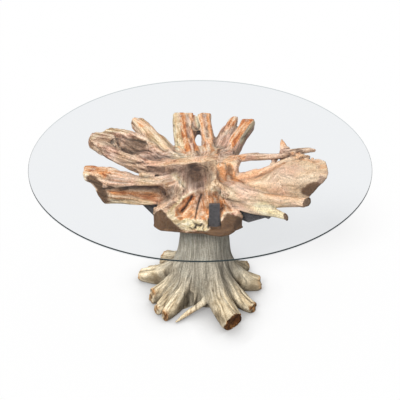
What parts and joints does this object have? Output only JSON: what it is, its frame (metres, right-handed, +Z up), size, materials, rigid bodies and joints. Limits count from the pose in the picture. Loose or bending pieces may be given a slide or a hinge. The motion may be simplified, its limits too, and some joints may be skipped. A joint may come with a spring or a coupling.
{
  "type": "round dining table",
  "caption": "Round clear glass dining table resting on a crown of sawn natural root sections over a flared trunk pedestal with root feet.",
  "frame": {"origin": "on the floor, straight below the middle of the round glass", "axes": "+Z up, +X to the right and +Y to the back as the picture sees the table"},
  "size_m": [1.5238, 1.5238, 0.762],
  "materials": {
    "clear_glass": "polished, ground edge",
    "clear_silicone": "clear, soft",
    "root_wood": "weathered root with sawn and oiled cuts",
    "trunk_wood": "bare weathered grain",
    "black_steel": "satin black",
    "zinc_steel": "zinc plated",
    "beech_dowel": "plain turned"
  },
  "bodies": {
    "base": {"glass_bumpers": "clear_silicone", "trunk_pedestal": "trunk_wood", "limb_dowels": "beech_dowel", "crown_hub": "root_wood", "left_long_root": "root_wood", "left_hollow_root": "root_wood", "left_spur_root": "root_wood", "left_spear_root": "root_wood", "back_slotted_root": "root_wood", "back_pointed_root": "root_wood", "back_straight_root": "root_wood", "right_thin_root": "root_wood", "right_broad_root": "root_wood", "right_forked_root": "root_wood", "front_cut_root": "root_wood", "neck_plate": "black_steel", "left_bracket": "black_steel", "right_bracket": "black_steel", "front_upright": "black_steel", "plate_screws": "zinc_steel", "bracket_screws": "zinc_steel", "upright_screws": "zinc_steel", "center_rod": "zinc_steel", "rod_washer": "zinc_steel", "rod_nut": "zinc_steel"},
    "glass": {"glass_top": "clear_glass"}
  },
  "joints": [
    {"name": "glass_lift", "type": "slide", "parent": "base", "child": "glass", "axis": [0, 0, 1], "range_m": [0, 0.3]}
  ]
}
